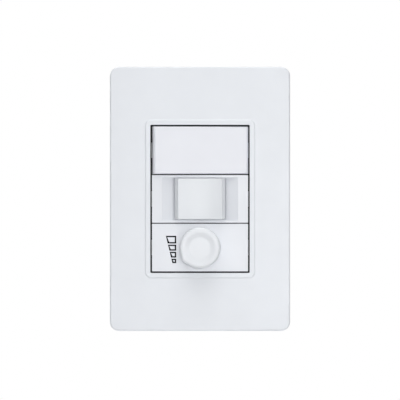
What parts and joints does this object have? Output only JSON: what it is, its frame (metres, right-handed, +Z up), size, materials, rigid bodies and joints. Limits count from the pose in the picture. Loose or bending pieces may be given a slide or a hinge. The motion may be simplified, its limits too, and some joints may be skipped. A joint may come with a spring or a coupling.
{
  "type": "dimmer wall switch",
  "caption": "White wall plate holding a wide rocker switch, a horizontal slide key and a rotary dimmer knob with printed level marks.",
  "frame": {"origin": "on the wall plane, at the middle of the line between the two box screws", "axes": "+Z up the wall along the plate's long side, +Y into the wall, so the controls face -Y, +X to the right as seen from the room"},
  "size_m": [0.0818, 0.0452, 0.12],
  "materials": {
    "plate_white": "semi-gloss moulded ABS",
    "rocker_white": "semi-gloss moulded ABS",
    "fascia_white": "semi-gloss moulded ABS",
    "slide_white": "satin moulded ABS",
    "knob_white": "satin moulded ABS",
    "frame_plastic": "fine-textured polycarbonate",
    "housing_plastic": "matt glass-filled nylon",
    "natural_nylon": "matt natural nylon",
    "grey_acetal": "smooth acetal",
    "mark_ink": "matt printed ink",
    "zinc_steel": "bright zinc plated",
    "spring_steel": "drawn spring wire",
    "brass": "turned brass",
    "copper": "rolled copper",
    "silver_alloy": "silver alloy contact",
    "aluminium": "rolled aluminium sheet",
    "die_cast": "zinc die casting",
    "phenolic": "pressed phenolic board",
    "carbon_track": "printed carbon film",
    "circuit_green": "glass epoxy with solder mask",
    "black_epoxy": "moulded epoxy",
    "ferrite": "coated iron powder",
    "enamel_wire": "enamelled copper wire",
    "yellow_case": "moulded capacitor case",
    "green_film": "dipped film capacitor",
    "resistor_body": "lacquered ceramic body",
    "diac_glass": "sealed glass body"
  },
  "bodies": {
    "base": {"support_frame": "frame_plastic", "box_screws": "zinc_steel", "switch_frame": "fascia_white", "switch_base": "housing_plastic", "load_strip": "brass", "fixed_contact": "silver_alloy", "common_bracket": "brass", "switch_clamps": "brass", "switch_clamp_screws": "zinc_steel", "slide_fascia": "fascia_white", "slide_base": "housing_plastic", "contact_board": "phenolic", "slide_common_rail": "brass", "slide_left_pad": "brass", "slide_right_pad": "brass", "detent_spring": "spring_steel", "slide_clamps": "brass", "slide_clamp_screws": "zinc_steel", "pot_bushing": "die_cast", "pot_nut": "zinc_steel", "pot_washer": "zinc_steel", "pot_wafer": "phenolic", "pot_track": "carbon_track", "pot_can": "zinc_steel", "pot_lugs": "zinc_steel", "dimmer_fascia": "fascia_white", "level_marks": "mark_ink", "dimmer_base": "housing_plastic", "heatsink_plate": "aluminium", "triac": "black_epoxy", "triac_screw": "zinc_steel", "circuit_board": "circuit_green", "choke_core": "ferrite", "choke_winding": "enamel_wire", "suppression_capacitor": "yellow_case", "timing_capacitor": "green_film", "resistors": "resistor_body", "diac": "diac_glass", "dimmer_clamps": "brass", "dimmer_clamp_screws": "zinc_steel"},
    "cover": {"cover_plate": "plate_white"},
    "rocker": {"rocker_key": "rocker_white", "rocker_cradle": "natural_nylon", "rocker_spring": "spring_steel", "rocker_plunger": "grey_acetal"},
    "lever": {"contact_lever": "copper", "lever_contact": "silver_alloy"},
    "slider": {"slide_key": "slide_white", "slide_carriage": "grey_acetal", "slide_bridge": "copper", "bridge_springs": "spring_steel"},
    "knob": {"dimmer_knob": "knob_white", "knob_clip": "spring_steel", "pot_shaft": "aluminium", "pot_rotor": "natural_nylon", "pot_wiper": "copper"}
  },
  "joints": [
    {"name": "plate_snap", "type": "slide", "parent": "base", "child": "cover", "axis": [0, -1, 0], "range_m": [0, 0.012]},
    {"name": "rocker_tilt", "type": "hinge", "parent": "base", "child": "rocker", "pos_m": [0, -0.0046, 0.0221], "axis": [0, 0, 1], "range_deg": [-9, 0]},
    {"name": "lever_tilt", "type": "hinge", "parent": "base", "child": "lever", "pos_m": [0, 0.01065, 0.0221], "axis": [0, 0, 1], "range_deg": [0, 12]},
    {"name": "slide_travel", "type": "slide", "parent": "base", "child": "slider", "axis": [1, 0, 0], "range_m": [-0.0044, 0.0044], "deforming": ["detent_spring"]},
    {"name": "knob_turn", "type": "hinge", "parent": "base", "child": "knob", "pos_m": [0, -0.0142, -0.0221], "axis": [0, 1, 0], "range_deg": [-8, 262]}
  ],
  "couplings": [
    {"joint": "lever_tilt", "follows": "rocker_tilt", "ratio": -1.3333}
  ]
}
